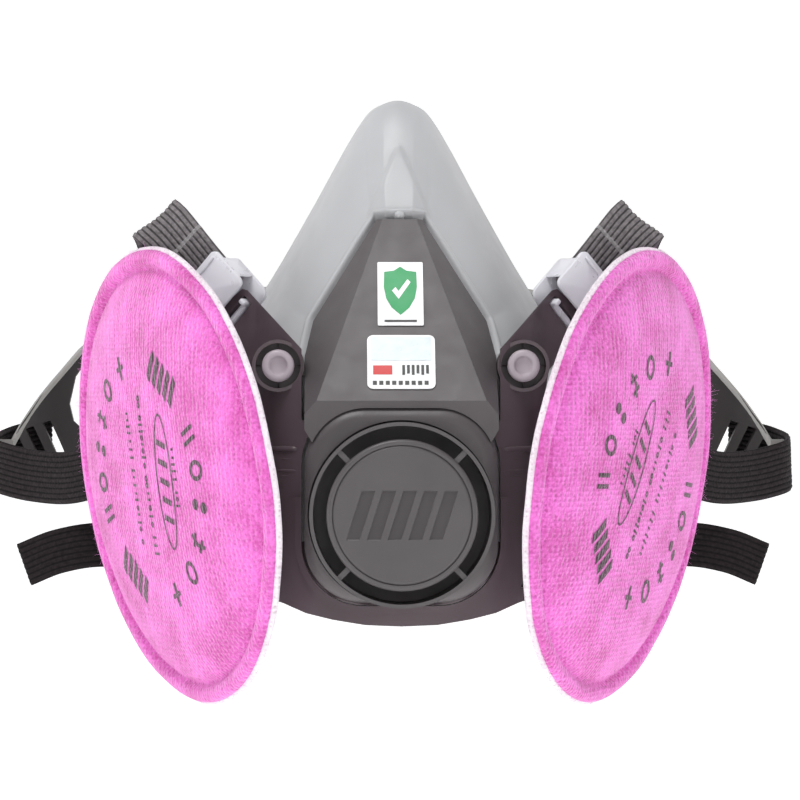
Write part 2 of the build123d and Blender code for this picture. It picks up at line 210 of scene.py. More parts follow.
def moulded(name, color, roughness, grain=2600, depth=0.00004, spread=0.08, mottle=70):
    """Moulded plastic or rubber: slow colour drift, uneven gloss and a fine grain."""
    material, shader = new_material(name, color, roughness)
    drift = noise_tex(material, mottle)
    tree = material.node_tree
    tree.links.new(ramp(material, drift, [(0.3, tint(color, 1 - spread)), (0.7, tint(color, 1 + spread))]),
                   shader.inputs["Base Color"])
    gloss = ramp(material, noise_tex(material, mottle * 3),
                 [(0.3, (roughness - 0.05,) * 3), (0.7, (roughness + 0.07,) * 3)])
    tree.links.new(gloss, shader.inputs["Roughness"])
    bump(material, shader, noise_tex(material, grain, 2.0), 0.35, depth)
    return material, shader


def nonwoven(name, light, dark, stipple=900):
    """Felted fibre web with a regular point bond pattern and cloudy colour."""
    material, shader = new_material(name, light, 0.85)
    tree = material.node_tree
    cloud = noise_tex(material, 95, 6.0)
    fibres = noise_tex(material, 1500, 8.0)
    both = add(material, "ShaderNodeMath", {0: cloud, 1: fibres}, operation="ADD")
    mixed = add(material, "ShaderNodeMath", {0: both.outputs[0]}, operation="MULTIPLY")
    mixed.inputs[1].default_value = 0.5
    web = ramp(material, mixed.outputs[0], [(0.38, dark), (0.6, light)])
    bond = add(material, "ShaderNodeTexVoronoi", {"Vector": place(material)}, feature="F1")
    bond.inputs["Scale"].default_value = stipple
    bond.inputs["Randomness"].default_value = 0.25
    spots = ramp(material, bond.outputs["Distance"], [(0.12, (0.8, 0.72, 0.76)), (0.34, (1, 1, 1))])
    mix = add(material, "ShaderNodeMix", data_type="RGBA", blend_type="MULTIPLY")
    mix.inputs[0].default_value = 1.0
    tree.links.new(web, mix.inputs[6])
    tree.links.new(spots, mix.inputs[7])
    tree.links.new(mix.outputs[2], shader.inputs["Base Color"])
    bump(material, shader, bond.outputs["Distance"], 0.9, 0.0006)
    bump(material, shader, fibres, 0.7, 0.0003)
    bump(material, shader, cloud, 0.5, 0.0009)
    shader.inputs["Sheen Weight"].default_value = 0.35
    shader.inputs["Sheen Roughness"].default_value = 0.5
    return material, shader


def webbing(name, color, light=None, low=0.0, high=1.0):
    """Elastic webbing; `light` takes over from `color` between two heights (metres), painted light that makes
    the upper part paler.
    """
    material, shader = new_material(name, color, 0.8)
    tree = material.node_tree
    yarn = noise_tex(material, 1100, 5.0)
    lit = ramp(material, yarn, [(0.3, tint(color, 0.6)), (0.7, tint(color, 1.4))])
    # Painted light: the colour grows paler with height, where the light from above falls.
    if light:
        coords = add(material, "ShaderNodeTexCoord")
        split = add(material, "ShaderNodeSeparateXYZ", {"Vector": coords.outputs["Object"]})
        rise = add(material, "ShaderNodeMapRange", {"Value": split.outputs["Z"]})
        rise.inputs["From Min"].default_value, rise.inputs["From Max"].default_value = low, high
        pale = ramp(material, yarn, [(0.3, tint(light, 0.65)), (0.7, tint(light, 1.3))])
        mix = add(material, "ShaderNodeMix", data_type="RGBA")
        tree.links.new(rise.outputs["Result"], mix.inputs[0])
        tree.links.new(lit, mix.inputs[6])
        tree.links.new(pale, mix.inputs[7])
        lit = mix.outputs[2]
    tree.links.new(lit, shader.inputs["Base Color"])
    knit = add(material, "ShaderNodeTexVoronoi", {"Vector": place(material)}, feature="F1")
    knit.inputs["Scale"].default_value = 1500
    bump(material, shader, knit.outputs["Distance"], 0.6, 0.0002)
    shader.inputs["Sheen Weight"].default_value = 0.05
    shader.inputs["Specular IOR Level"].default_value = 0.15
    return material, shader


ELASTOMER, _elastomer = moulded("facepiece elastomer", (0.455, 0.46, 0.475), 0.46, spread=0.03)
_elastomer.inputs["Subsurface Weight"].default_value = 0.08
_elastomer.inputs["Subsurface Radius"].default_value = (0.002, 0.002, 0.002)
SHELL, _ = moulded("shell plastic", (0.088, 0.078, 0.082), 0.45)
COVER, _ = moulded("cover plastic", (0.076, 0.069, 0.072), 0.45)
# Painted shade for the cap's sunk slats.
COVER_SUNK_SHADE, _ = moulded("cover plastic sunk painted shade", (0.048, 0.042, 0.044), 0.5)
YOKE, _ = moulded("yoke plastic", (0.082, 0.058, 0.068), 0.36)
GASKET, _ = moulded("gasket rubber", (0.02, 0.02, 0.02), 0.6)
FLAP, _ = moulded("valve silicone", (0.6, 0.59, 0.56), 0.35)
HUB, _ = moulded("hub plastic", (0.55, 0.12, 0.34), 0.45)
CRADLE, _cradle = moulded("cradle plastic", (0.019, 0.0145, 0.0155), 0.42)
_cradle.inputs["Specular IOR Level"].default_value = 0.25
# Pale grey: painted highlight along the head cradle's rim, also used for the strap keepers.
PALE_GREY_RIM_HIGHLIGHT, _ = moulded("cradle rim painted highlight and keeper grey", (0.3, 0.29, 0.28), 0.5)
LABEL, _ = moulded("label paper", (0.86, 0.87, 0.88), 0.35, grain=5000, depth=0.00001, spread=0.01)
GREEN, _ = moulded("label green", (0.003, 0.30, 0.085), 0.35, spread=0.05)
PALE_BLUE, _ = moulded("label pale blue", (0.66, 0.74, 0.80), 0.3, spread=0.06, mottle=500)
INK_RED, _ = moulded("label red", (0.6, 0.03, 0.03), 0.4)
INK_DARK, _ = moulded("label dark", (0.03, 0.03, 0.03), 0.4)
PINK, _ = nonwoven("filter pink web", (0.87, 0.19, 0.68), (0.58, 0.07, 0.36))
WHITE_WEB, _ = nonwoven("filter white web", (0.9, 0.84, 0.89), (0.78, 0.66, 0.75))
FIBRE, _ = moulded("loose fibre", (0.86, 0.36, 0.76), 0.8, spread=0.2)
INK, _ = nonwoven("filter ink", (0.11, 0.03, 0.07), (0.03, 0.008, 0.02))
# For the grey, valley and crease webbing the second colour is painted light, taking over between z = 0 and 30
# mm.
WEB_GREY, _ = webbing("webbing grey", (0.018, 0.0135, 0.015), (0.18, 0.165, 0.172), 0.0, 0.03)
WEB_DARK, _ = webbing("webbing dark", (0.013, 0.0095, 0.0105))
# Painted shade: a near-black copy of the webbing for the valleys between the cords.
WEB_VALLEY_SHADE, _ = webbing("webbing valley painted shade", (0.006, 0.005, 0.0055), (0.06, 0.055, 0.058), 0.0, 0.03)
# Painted highlight: a pale copy of the webbing along the crease.
WEB_CREASE_HIGHLIGHT, _ = webbing("webbing crease painted highlight", (0.16, 0.15, 0.15), (0.27, 0.26, 0.265), 0.0, 0.03)
CLEAR, _clear = moulded("buckle plastic", (0.86, 0.85, 0.91), 0.3, depth=0.0, spread=0.01)
_clear.inputs["Transmission Weight"].default_value = 0.22
_clear.inputs["IOR"].default_value = 1.45


def finish(piece, body, slot, *nodes):
    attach(piece, body)
    if nodes:
        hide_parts(*nodes)
    return piece


# ---------------------------------------------------------------- facepiece
def panel_y(z):
    """The front shell's sloped middle panel."""
    return -68.0 + (z + 3.7) * 28.0 / 42.2


def facet_y(x, z):
    """The front shell's side facets."""
    return -88.82 + 1.3168 * x + 1.1353 * z


# Right half from the nose down: shell edge (x, z), seal point, and the way the wall sets off
FACE_STATIONS = [
    ((0, 39.1), (0, -17, 67.5), (0, 0.55, 0.83)),
    ((3.0, 39.1), (3.6, -16.8, 66.6), (0.05, 0.55, 0.83)),
    ((5.6, 38.9), (7.2, -16, 64.2), (0.25, 0.62, 0.74)),
    ((9.5, 32.7), (12.0, -13.6, 57.0), (0.55, 0.65, 0.5)),
    ((14.5, 24.5), (19.0, -10.5, 44.5), (0.62, 0.66, 0.42)),
    ((19.9, 15.8), (27, -6.2, 30.8), (0.66, 0.68, 0.3)),
    ((21.8, 7.6), (34.2, -3.2, 19.0), (0.66, 0.72, 0.2)),
    ((22.3, -5), (42.5, 1.6, 3.0), (0.58, 0.81, 0.1)),
    ((22.3, -17), (47.6, 4.6, -12), (0.55, 0.83, 0)),
    ((22.3, -30), (48, 4.4, -24), (0.55, 0.83, -0.05)),
    ((20.5, -40), (43, 0.5, -36), (0.5, 0.8, -0.3)),
    ((15, -46), (32, -4.5, -45), (0.35, 0.8, -0.45)),
    ((7, -48.2), (15, -7.5, -50.3), (0.1, 0.85, -0.5)),
    ((0, -48.4), (0, -8.2, -51.2), (0, 0.85, -0.5)),
]
PER_STATION = 10
BEAD = [(-2.5, -2.0), (-0.6, -1.6), (0.0, -0.8), (0.25, 0.0), (0.7, 0.45), (1.3, 0.45),
        (1.8, 0.2), (2.1, -0.5)]                      # outwards, forwards
LIP = [(0.7, 1.0), (2.2, 1.5), (4.5, 1.2), (7.0, 0.2), (9.0, -1.2), (9.3, -2.2), (8.4, -2.6),
       (5.5, -2.0)]                                   # inwards, backwards
FLANK_STEPS = 34
SKIN_IN, SKIN_BACK = 1.92, 1.44                       # offset of the inside from the flank
VALVE_CENTRE = Vector((0, -51.0, -27.5))
VALVE_BORE_R = 16.3
CHIN_SHADE_FRONT_Y, CHIN_SHADE_TOP_Z = -0.048, -0.034             # metres; the chin seen round the valve housing, painted in the dark yoke colour as shade


def edge_point(x, z):
    if z < 8:
        return Vector((x, -52.4 - 0.4 * (8 - z) / 56, z))
    return Vector((x, (panel_y(z) if x < 4 else facet_y(x, z)) + 0.9, z))


def face_columns():
    """Right half of the wall as columns running from the shell's edge to the seal line."""
    start = [edge_point(*s[0]) for s in FACE_STATIONS]
    columns = []
    seals = np.array([s[1] for s in FACE_STATIONS], float)
    outs = np.array([s[2] for s in FACE_STATIONS], float)
    ends = np.vstack([seals[1] * (-1, 1, 1), seals, seals[-2] * (-1, 1, 1)])
    count = len(FACE_STATIONS)
    for i in range(count - 1):
        for k in range(PER_STATION + (i == count - 2)):
            t = k / PER_STATION
            p0 = start[i].lerp(start[i + 1], t)
            a, b, c, d = ends[i:i + 4]
            p3 = Vector(0.5 * (2 * b + (c - a) * t + (2 * a - 5 * b + 4 * c - d) * t * t
                               + (3 * b - a - 3 * c + d) * t ** 3))
            out = Vector(outs[i] * (1 - t) + outs[i + 1] * t).normalized()
            columns.append((p0, p3, out))
    return columns


def face_profile(p0, p3, out):
    """One column: bead, flank, rolled lip, then back along the inside."""
    side = Vector((out.x, 0, out.z))
    side = side.normalized() if side.length > 0.2 else Vector((0, 0, 1 if p0.z > 0 else -1))
    front = (Vector((0, -1, 0)) + out * out.y).normalized()
    rows = [p0 + out * s + front * h for s, h in BEAD]
    base = rows[-1] + front * -0.2
    chord = (p3 - base).length
    c1 = base + out * chord * 0.33
    inward = Vector((-p3.x, 0, 6 - p3.z)).normalized()
    ending = (Vector((0, 1, 0)) - inward * 0.28).normalized()
    c2 = p3 - ending * chord * 0.30
    flank = []
    for k in range(FLANK_STEPS + 1):
        t = k / FLANK_STEPS
        flank.append(base * (1 - t) ** 3 + c1 * 3 * t * (1 - t) ** 2 + c2 * 3 * t * t * (1 - t) + p3 * t ** 3)
    rows += flank
    back = Vector((0, 1, 0))
    for s, h in LIP:
        rows.append(p3 + inward * s + back * h)
    for k in range(FLANK_STEPS - 2, 1, -3):
        rows.append(flank[k] + inward * SKIN_IN + back * SKIN_BACK)
    return rows


def raise_nose(point):
    """The flat triangle that stands proud on the nose above the shell."""
    x, y, z = point
    if y > -10 or not 39.6 < z < 57:
        return point
    half = 6.6 * (56.5 - z) / 16.0
    edge = (half - abs(x)) * 0.9
    rise = max(0.0, min(1.0, edge / 0.9 + 0.5)) * max(0.0, min(1.0, (56.5 - z) / 4))
    return Vector((x, y - 1.1 * rise, z + 0.5 * rise))


def facepiece():
    """The elastomer body: wall columns joined into one skin, closed round the valve's bore."""
    columns = [face_profile(*c) for c in face_columns()]
    outer_rows = len(BEAD) + FLANK_STEPS
    columns = [[raise_nose(p) if k < outer_rows else p for k, p in enumerate(c)] for c in columns]
    left = [[Vector((-p.x, p.y, p.z)) for p in c] for c in columns[-2:0:-1]]
    ring = columns + left
    rows = [[c[k] for c in ring] for k in range(len(ring[0]))]
    inner = rows[-1]
    for t in (0.5, 1.0):
        row = []
        for p in inner:
            direction = Vector((p.x - VALVE_CENTRE.x, 0, p.z - VALVE_CENTRE.z)).normalized()
            row.append(p.lerp(VALVE_CENTRE + direction * VALVE_BORE_R, t))
        rows.append(row)
    rows.append([p + Vector((0, -3, 0)) for p in rows[-1]])
    points, faces = grid(rows)
    piece = mesh_object("facepiece_skin", points, faces, ELASTOMER)
    face_outwards(piece)
    modifier(piece, "SUBSURF", levels=1, render_levels=1)
    # Painted shade: the chin seen round the valve housing takes the dark yoke colour.
    piece.data.materials.append(YOKE)
    for polygon in piece.data.polygons:
        if polygon.center.y < CHIN_SHADE_FRONT_Y and polygon.center.z < CHIN_SHADE_TOP_Z:
            polygon.material_index = 1
    return finish(piece, "root", "elastomer_grey", "facepiece")


def revolved(name, profile, origin, axis, material, segments=64, side=1):
    origin, axis = Vector(origin), Vector(axis).normalized()
    u = axis.orthogonal().normalized()
    v = axis.cross(u)
    rows = spun(profile, origin, u, v, axis, segments)
    points, faces = grid(rows)
    points = [Vector(p) for p in points]
    if side < 0:
        points = [Vector(p) for p in mirrored(points)]
    return face_outwards(mesh_object(name, points, faces, material))


def face_details():
    pip = revolved("nose_pip", [(0.02, 0.7), (0.6, 0.62), (1.05, 0.3), (1.2, -0.3), (1.25, -1.5)],
                   (0, panel_y(39.9) + 0.1, 40.0), (0, -0.83, 0.55), ELASTOMER, 32)
    finish(pip, "root", "elastomer_grey")
    post = [(0.02, 58.0), (1.6, 58.0), (1.9, 58.2), (2.0, 58.75), (2.3, 58.95), (3.2, 58.8), (3.6, 58.3),
            (3.6, 57.2), (3.2, 56.7), (2.2, 56.5), (2.2, 45)]
    for s, name in ((1, "right"), (-1, "left")):
        piece = revolved(f"mushroom_post_{name}", post, (s * 27.2, 0, 5.1), (0, -1, 0), POST, 48)
        finish(piece, "root", "elastomer_grey")
        seat = [(15.0, -22), (15.0, -13.2), (15.6, -13.0), (20.2, -13.0), (21.0, -13.6),
                (21.6, -15.5), (22.5, -19)]
        boss = revolved(f"port_seat_{name}", seat, FILTER_C, FILTER_N, ELASTOMER, 96, s)
        finish(boss, "root", "elastomer_grey")


POST, _ = moulded("post elastomer", (0.42, 0.36, 0.40), 0.4, spread=0.03)


# ---------------------------------------------------------------- filters
def dome(r):
    """Height of the filter's front face above its rim."""
    table = ((0, 7.5), (14, 7.3), (28, 6.6), (37, 5.3), (42, 3.9), (45.5, 2.4), (47.2, 1.35))
    for (r0, h0), (r1, h1) in zip(table, table[1:]):
        if r <= r1:
            t = (r - r0) / (r1 - r0)
            t = t * t * (3 - 2 * t) * 0.35 + t * 0.65
            return h0 + (h1 - h0) * t
    return table[-1][1]


def filter_wobble(seed):
    """Slight unevenness of the pressed web: (radial, axial) shift at a radius and angle."""
    def wobble(r, a):
        p = Vector((cos(a) * r / 26, sin(a) * r / 26, seed))
        q = Vector((cos(a) * r / 7, sin(a) * r / 7, seed + 4))
        rim = max(0.0, (r - 40) / 12.5)
        axial = 0.28 * noise.noise(p) + 0.07 * noise.noise(q) + 0.2 * rim * noise.noise(p * 2)
        return 0.25 * rim * noise.noise(p * 1.3), axial
    return wobble


# radius, height: the welded rim, then the rear web down to the hub
WEB_RIM = [(47.6, 0.8), (48.1, 0.7), (48.5, 1.2), (49.0, 1.8), (49.8, 2.05), (50.8, 1.95), (51.7, 1.6),
           (52.2, 1.1), (52.35, 0.6), (52.1, 0.2), (48, 0.0)]
REAR_WEB = [(52.0, 0.5), (52.6, 0.35), (52.95, -0.1), (52.95, -0.6), (52.5, -1.0), (49, -1.1),
            (45, -1.3), (41, -2.0), (37, -3.6), (33, -5.4), (28, -6.5), (24, -6.9), (20.5, -7.0),
            (19.6, -6.8), (19.4, -5.9), (12.6, -5.8), (12.4, -4)]


def filter_discs():
    front = [(0.05, dome(0))] + [(r, dome(r)) for r in np.linspace(1.5, 47.0, 42)] + WEB_RIM
    layers = (("web", "filter_media_", front, PINK, "filter_pink"),
              ("backing", "filter_backing_", REAR_WEB, WHITE_WEB, "filter_white"))
    for s, name in ((1, "right"), (-1, "left")):
        for part, node, profile, material, slot in layers:
            rows = spun(profile, FILTER_C, FILTER_U, FILTER_V, FILTER_N, 240, filter_wobble(3.1 + 7 * s))
            points, faces = grid(rows)
            if s < 0:
                points = mirrored(points)
            piece = face_outwards(mesh_object(f"filter_{part}_{name}", points, faces, material))
            finish(piece, "filter_" + name, slot, node + name)
        filter_marks(s, name)
        fuzz(s, name)


FUZZ_COUNT, FUZZ_HALF_WIDTH, FUZZ_CURL = 2600, 0.03, 0.35


def fuzz(s, name):
    """Loose fibres that stand off the disc's rim and face, two of three on the rim."""
    rng = random.Random(21 + s)
    points, faces = [], []
    for k in range(FUZZ_COUNT):
        a = rng.uniform(0, 2 * pi)
        r = rng.uniform(47, 52.7) if k % 3 else rng.uniform(8, 47)
        h = dome(r) if r < 47 else 1.5 * (1 - max(0.0, r - 51) / 1.7)
        base = FILTER_C + FILTER_U * (r * cos(a)) + FILTER_V * (r * sin(a)) + FILTER_N * h
        radial = FILTER_U * cos(a) + FILTER_V * sin(a)
        along = radial.cross(FILTER_N) * rng.uniform(-1, 1) + radial * rng.uniform(0.0, 0.9)
        along += FILTER_N * rng.uniform(-0.1, 0.9)
        along.normalize()
        bend = Vector([rng.uniform(-1, 1) for _ in range(3)])
        side = along.cross(bend).normalized()
        length = rng.uniform(0.7, 2.3)
        start = len(points)
        for j in range(4):
            t = j / 3
            p = base + along * length * t + bend * FUZZ_CURL * length * t * t
            across = side * FUZZ_HALF_WIDTH * (1 - 0.7 * t)
            points += [p + across, p - across]
        faces += [(start + 2 * j, start + 2 * j + 1, start + 2 * j + 3, start + 2 * j + 2) for j in range(3)]
    if s < 0:
        points = mirrored(points)
    finish(mesh_object(f"filter_fuzz_{name}", points, faces, FIBRE), "filter_" + name, "filter_pink")


def on_dome(x, y, wobble, lift=0.12):
    r = sqrt(x * x + y * y)
    _, dh = wobble(r, atan2(y, x))
    return FILTER_C + FILTER_U * x + FILTER_V * y + FILTER_N * (dome(r) + dh + lift)


def ring_mark(x, y, outer, inner, squash=1.0, angle=0.0, count=40):
    rows = []
    for k in range(count + 1):
        t = 2 * pi * k / count
        row = []
        for w in (0, 0.5, 1):
            r = inner + (outer - inner) * w
            ex, ey = r * cos(t), (squash * outer - (outer - r)) * sin(t)
            row.append((x + ex * cos(angle) - ey * sin(angle), y + ex * sin(angle) + ey * cos(angle)))
        rows.append(row)
    return rows


def bar_mark(x, y, angle, length, width, lean=0.0):
    """A bar centred on (x, y) whose long side runs along `angle`."""
    steps = max(2, int(length / 1.2))
    rows = []
    for k in range(steps + 1):
        s = length * (k / steps - 0.5)
        row = []
        for w in (-0.5, 0, 0.5):
            a, b = s + lean * w * width, w * width
            row.append((x + a * cos(angle) - b * sin(angle), y + a * sin(angle) + b * cos(angle)))
        rows.append(row)
    return rows


def arc_mark(kind, r, theta):
    """One printed symbol of the rim pattern, standing on a circle of radius r; all are plain shapes."""
    x, y = r * cos(theta), r * sin(theta)
    across = theta + pi / 2
    if kind == "block":
        return [bar_mark(x + s * 2.9 * cos(across), y + s * 2.9 * sin(across), theta, 6.6, 1.9, lean=0.5)
                for s in (-2, -1, 0, 1, 2)]
    if kind == "diamond":
        return [bar_mark(x + s * 1.5 * cos(theta), y + s * 1.5 * sin(theta),
                         theta + s * 0.9 + 0.6 * k, 3.4, 0.9)
                for s in (-1, 1) for k in (-1, 1)]
    if kind == "ring":
        return [ring_mark(x, y, 2.9, 1.9, 0.82, theta)]
    if kind == "bars":
        return [bar_mark(x + s * 1.25 * cos(across), y + s * 1.25 * sin(across), theta, 5.6, 1.0)
                for s in (-1, 1)]
    if kind == "dots":
        return [ring_mark(x + s * 1.9 * cos(theta), y + s * 1.9 * sin(theta), 1.3, 0.05) for s in (-1, 1)]
    return [bar_mark(x, y, theta, 5.6, 1.1), bar_mark(x, y, across, 4.2, 1.1)]


def tick_row(q, length, height, rng):
    """A row of short upright ticks and dots along the print's own x axis."""
    marks, s = [], -length / 2
    while s < length / 2:
        if rng.random() < 0.3:
            marks.append(ring_mark(s, q, 0.32 * height, 0.12 * height, count=16))
        else:
            marks.append(bar_mark(s, q, pi / 2, height * rng.choice((1, 1, 0.6)), 0.55))
        s += rng.choice((1.5, 1.5, 1.9, 3.0))
    return marks


ARC_SYMBOLS = [("block", 149), ("bars", 113), ("ring", 96), ("dots", 79), ("diamond", 60), ("ring", 41),
               ("cross", 17), ("block", -34), ("bars", -72), ("ring", -88), ("dots", -105),
               ("diamond", -121), ("ring", -140), ("cross", -162)]


def filter_print(turn, handed):
    """The whole print in disc coordinates: two arcs of symbols, an oval and two rows of ticks."""
    rng = random.Random(5)
    marks = []
    for kind, degrees in ARC_SYMBOLS:
        marks += arc_mark(kind, 27.2, radians(degrees))
    marks.append(ring_mark(0, 10.9, 15.6, 15.1, 0.27))
    for k in range(5):
        marks.append(bar_mark(-8.6 + 4.3 * k, 10.9, pi / 2 - 0.25, 4.6, 1.3))
    marks += tick_row(16.4, 15, 1.9, rng) + tick_row(0.7, 38, 2.3, rng) + tick_row(-6.7, 31, 2.1, rng)

    def turned(p, q):
        return p * cos(turn) - handed * q * sin(turn), p * sin(turn) + handed * q * cos(turn)

    return [[[turned(p, q) for p, q in row] for row in rows] for rows in marks]


def filter_marks(s, name):
    turn, handed = (radians(66), 1) if s > 0 else (radians(-90), -1)
    wobble = filter_wobble(3.1 + 7 * s)
    points, faces = [], []
    for rows in filter_print(turn, handed):
        p, f = grid([[on_dome(x, y, wobble) for x, y in row] for row in rows], wrap=False)
        base = len(points)
        points += p
        faces += [tuple(i + base for i in q) for q in f]
    if s < 0:
        points = mirrored(points)
    piece = mesh_object(f"filter_marks_{name}", points, faces, INK)
    finish(piece, "filter_" + name, "filter_pink")


# ---------------------------------------------------------------- straps
def buckle_frame():
    origin = joint_point("buckle_pivot_right")
    u = Vector(JOINTS["buckle_pivot_right"]["axis"]).normalized()
    n = Vector((0.514, -0.857, 0))
    n = (n - u * n.dot(u)).normalized()
    return origin, u, n.cross(u), n


def at_buckle(v, w):
    origin, _, along, n = buckle_frame()
    return tuple(origin + along * v + n * w)


UPPER_ROUTE = [
    (*at_buckle(5.5, -1.3), 0.605, 0.363, -0.707),
    (*at_buckle(14.0, -1.3), 0.605, 0.363, -0.707),
    (*at_buckle(22.0, -1.4), 0.66, 0.3, -0.68),
    (*at_buckle(28.5, -1.2), 0.78, 0.2, -0.6),
    (55.6, -29.2, 38.6, 0.8, 0.1, -0.57),
    (54.8, -24.6, 36.5, 0.8, 0.0, -0.57),
    (52.6, -17.5, 29.0, 0.75, -0.1, -0.6),
    (51.0, -9.5, 19.0, 0.6, 0.0, -0.75),
    (52.0, -1.0, 8.0, 0.4, 0.0, -0.9),
    (58.0, 12.0, -7.0, 0.15, -0.1, -0.95),
    (68.0, 23.0, -17.0, 0, 0, -1),
    (79.0, 33.0, -21.5, 0, 0, -1),
    (90.0, 44.0, -21.5, 0, 0, -1),
    (99.2, 51.4, -19.5, 0.03, 0, -1),
    (101.0, 57.0, -18.0, 0.03, 0, -1),
    (100.8, 61.5, -17.2, 0.05, 0, -1),
    (100.0, 66.5, -16.5, 0.1, 0, -1),
    (98.0, 72.5, -15.5, 0.15, 0, -1),
    (94.6, 79.5, -14.6, 0.15, 0, -1),
    (89.5, 87.2, -13.6, 0.15, 0, -1),
]
NECK_ROUTE = [
    (29.4, -51.0, -38.9, 0.26, 0, 0.966), (29.4, -44.5, -39.0, 0.26, 0, 0.966),
    (32.5, -38.5, -41.0, 0.26, 0, 0.95), (34.6, -30.0, -43.0, 0.2, 0, 0.97),
    (39.9, -20.3, -43.7, 0.1, 0, 1), (45.0, -4.0, -43.0, 0, 0, 1), (50.0, 14.0, -43.0, 0, 0, 1),
    (47.0, 32.0, -44.5, 0, 0, 1), (36.0, 46.0, -46.5, 0, 0, 1), (18.5, 53.0, -48.0, 0, 0, 1),
    (17.0, 52.95, -48.2, 0, 0, 1), (15.9, 53.3, -48.3, 0, 0, 1), (15.6, 54.3, -48.3, 0, 0, 1),
    (15.6, 55.5, -48.3, 0, 0, 1), (15.9, 56.5, -48.3, 0, 0, 1), (17.0, 56.85, -48.2, 0, 0, 1),
    (18.5, 57.0, -48.0, 0, 0, 1), (40.0, 53.0, -45.0, 0, 0, 1), (58.0, 44.0, -40.5, 0, 0, 1),
    (72.0, 38.0, -38.5, 0, 0.1, 1), (83.0, 37.0, -40.0, 0.1, 0.1, 1), (92.0, 39.0, -43.5, 0.2, 0.1, 1),
]


def ribbed_band(name, route, width, thick, ribs, material, s, crease=None):
    """Elastic webbing: lengthwise cords between thin edges, along a smooth route."""
    path = smooth_path(route, 0.9)
    across_steps = ribs * 6
    rows, creases, travel = [], [], 0.0
    for i, station in enumerate(path):
        here = Vector(station[:3])
        along = Vector(path[min(i + 1, len(path) - 1)][:3]) - Vector(path[max(i - 1, 0)][:3])
        along.normalize()
        side = Vector(station[3:])
        side = (side - along * side.dot(along)).normalized()
        up = along.cross(side)
        row = []
        if i:
            travel += (here - Vector(path[i - 1][:3])).length
        creased = crease is not None and abs(travel - crease) < 0.5
        creases.append(creased)
        for face in (1, -1):
            for k in range(across_steps + 1):
                t = k / across_steps if face > 0 else 1 - k / across_steps
                edge = min(1.0, min(t, 1 - t) * 14)
                cord = abs(sin(pi * t * ribs))
                ripple = 0.05 * sin(i * 1.9 + (k // 6) * 2.1)
                height = thick / 2 * (0.3 + 0.3 * edge) + 0.3 * edge * cord ** 0.7 + ripple * edge
                height += 0.2 * creased
                row.append(here + side * (t - 0.5) * width + up * face * height)
        rows.append(row)
    points, faces = grid(rows)
    n = len(rows[0])
    faces.append(tuple(range(n)))
    faces.append(tuple(reversed(range(len(points) - n, len(points)))))
    if s < 0:
        points = mirrored(points)
    piece = face_outwards(mesh_object(name, points, faces, material))
    piece.data.materials.append(WEB_VALLEY_SHADE)
    piece.data.materials.append(WEB_CREASE_HIGHLIGHT)
    for i, polygon in enumerate(piece.data.polygons):
        column = i % n % (across_steps + 1)
        on_a_face = column < across_steps and i < n * (len(rows) - 1)
        # Painted shade in the valleys between cords.
        if on_a_face and column % 6 in (0, 5):
            polygon.material_index = 1
        # Painted highlight along the crease.
        if creases[min(i // n, len(rows) - 1)]:
            polygon.material_index = 2
    return piece


def straps():
    for s, name in ((1, "right"), (-1, "left")):
        strap = ribbed_band(f"upper_webbing_{name}", UPPER_ROUTE, 13.0, 1.3, 10, WEB_GREY, s, crease=17.0)
        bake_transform(strap)
        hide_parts(f"upper_strap_{name}")
        neck = ribbed_band(f"neck_webbing_{name}", NECK_ROUTE, 11.0, 1.0, 8, WEB_DARK, s)
        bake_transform(neck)
        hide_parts(f"neck_strap_{name}")


# ---------------------------------------------------------------- buckles
def rounded_plate(name, width, length, thick, corner, centre, frame_axes, s, hole=None):
    """A plate with round corners, lying in a frame given by (origin, u, v, n)."""
    origin, u, v, n = frame_axes
    cu, cv, cn = centre

    def loop(w, h, r):
        out = []
        for k in range(32):
            a = 2 * pi * (k + 0.5) / 32
            sx, sy = (1 if cos(a) > 0 else -1), (1 if sin(a) > 0 else -1)
            out.append((sx * (w / 2 - r) + r * cos(a), sy * (h / 2 - r) + r * sin(a)))
        return out

    soft = min(0.25, thick / 3)
    rings = []
    inner = loop(*hole) if hole else [(x * 0.001, y * 0.001) for x, y in loop(width, length, corner)]
    face_loop = (width - 2 * soft, length - 2 * soft, corner - soft)
    edge_loop = (width, length, corner)
    outer = [(*face_loop, thick / 2), (*edge_loop, thick / 2 - soft),
             (*edge_loop, soft - thick / 2), (*face_loop, -thick / 2)]
    rings.append([(x, y, thick / 2) for x, y in inner])
    rings += [[(x, y, z) for x, y in loop(w, h, r)] for w, h, r, z in outer]
    rings.append([(x, y, -thick / 2) for x, y in inner])
    if hole:
        rings.append(rings[0])
    rows = [[origin + u * (x + cu) + v * (y + cv) + n * (z + cn) for x, y, z in ring] for ring in rings]
    points, faces = grid(rows)
    if s < 0:
        points = mirrored(points)
    return face_outwards(mesh_object(name, points, faces, CLEAR))


def tube(name, path, radius, material, s, sides=14):
    """A round bar along a path of points; radius may be a pair for an oval section (side, up)."""
    ra, rb = radius if isinstance(radius, tuple) else (radius, radius)
    rows = []
    path = [Vector(p) for p in path]
    for i, here in enumerate(path):
        along = (path[min(i + 1, len(path) - 1)] - path[max(i - 1, 0)]).normalized()
        side = along.cross(Vector((0, 1, 0)))
        side = side.normalized() if side.length > 1e-3 else Vector((1, 0, 0))
        up = along.cross(side)
        cap = 0.4 if i in (0, len(path) - 1) else 1.0
        turns = [2 * pi * k / sides for k in range(sides)]
        rows.append([here + side * (ra * cap * cos(a)) + up * (rb * cap * sin(a)) for a in turns])
    points, faces = grid(rows)
    faces.append(tuple(range(sides)))
    faces.append(tuple(reversed(range(len(points) - sides, len(points)))))
    if s < 0:
        points = mirrored(points)
    return face_outwards(mesh_object(name, points, faces, material))


